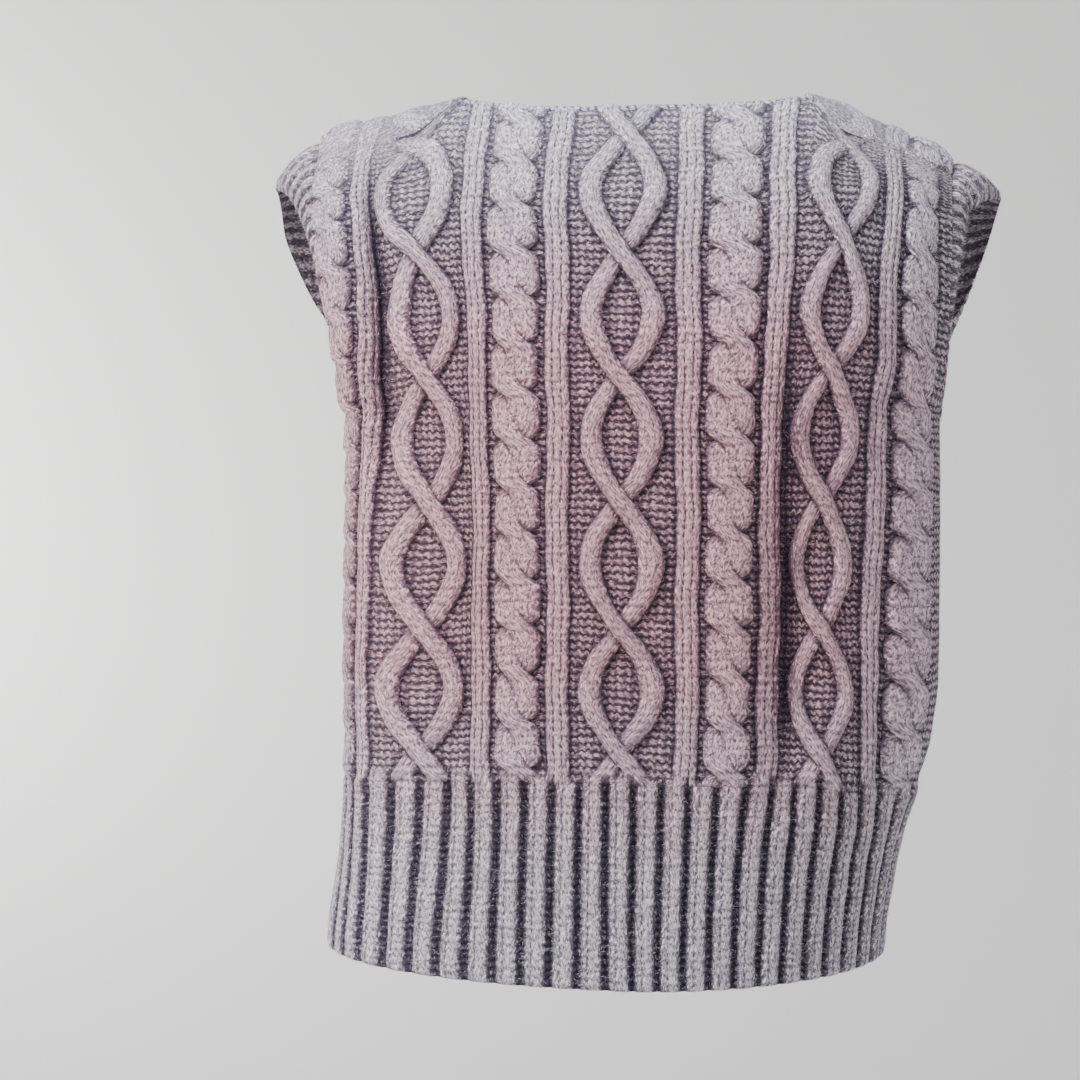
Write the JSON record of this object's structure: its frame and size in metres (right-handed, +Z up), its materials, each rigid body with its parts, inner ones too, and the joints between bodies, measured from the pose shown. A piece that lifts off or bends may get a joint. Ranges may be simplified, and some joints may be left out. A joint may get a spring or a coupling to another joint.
{
  "type": "knitted sweater vest",
  "caption": "Sleeveless drop-shoulder sweater vest in chunky cable knit with a scooped neck, ribbed armhole bands and a deep ribbed hem, in its hollow worn form.",
  "frame": {"origin": "midway between the two neck points at the shoulder ridge, where the wearer's shoulders carry the vest", "axes": "+Z up, +Y out of the back, -Y out of the front, +X to the wearer's left"},
  "size_m": [0.519, 0.268, 0.6045],
  "materials": {
    "back_panel_yarn": "matte",
    "front_panel_yarn": "matte",
    "back_hem_rib_yarn": "matte",
    "front_hem_rib_yarn": "matte",
    "left_armhole_band_yarn": "matte",
    "right_armhole_band_yarn": "matte",
    "neck_edge_yarn": "matte"
  },
  "bodies": {
    "root": {"back_panel": "back_panel_yarn", "front_panel": "front_panel_yarn", "back_hem_rib": "back_hem_rib_yarn", "front_hem_rib": "front_hem_rib_yarn", "left_armhole_band": "left_armhole_band_yarn", "right_armhole_band": "right_armhole_band_yarn", "neck_edge": "neck_edge_yarn"}
  },
  "joints": []
}
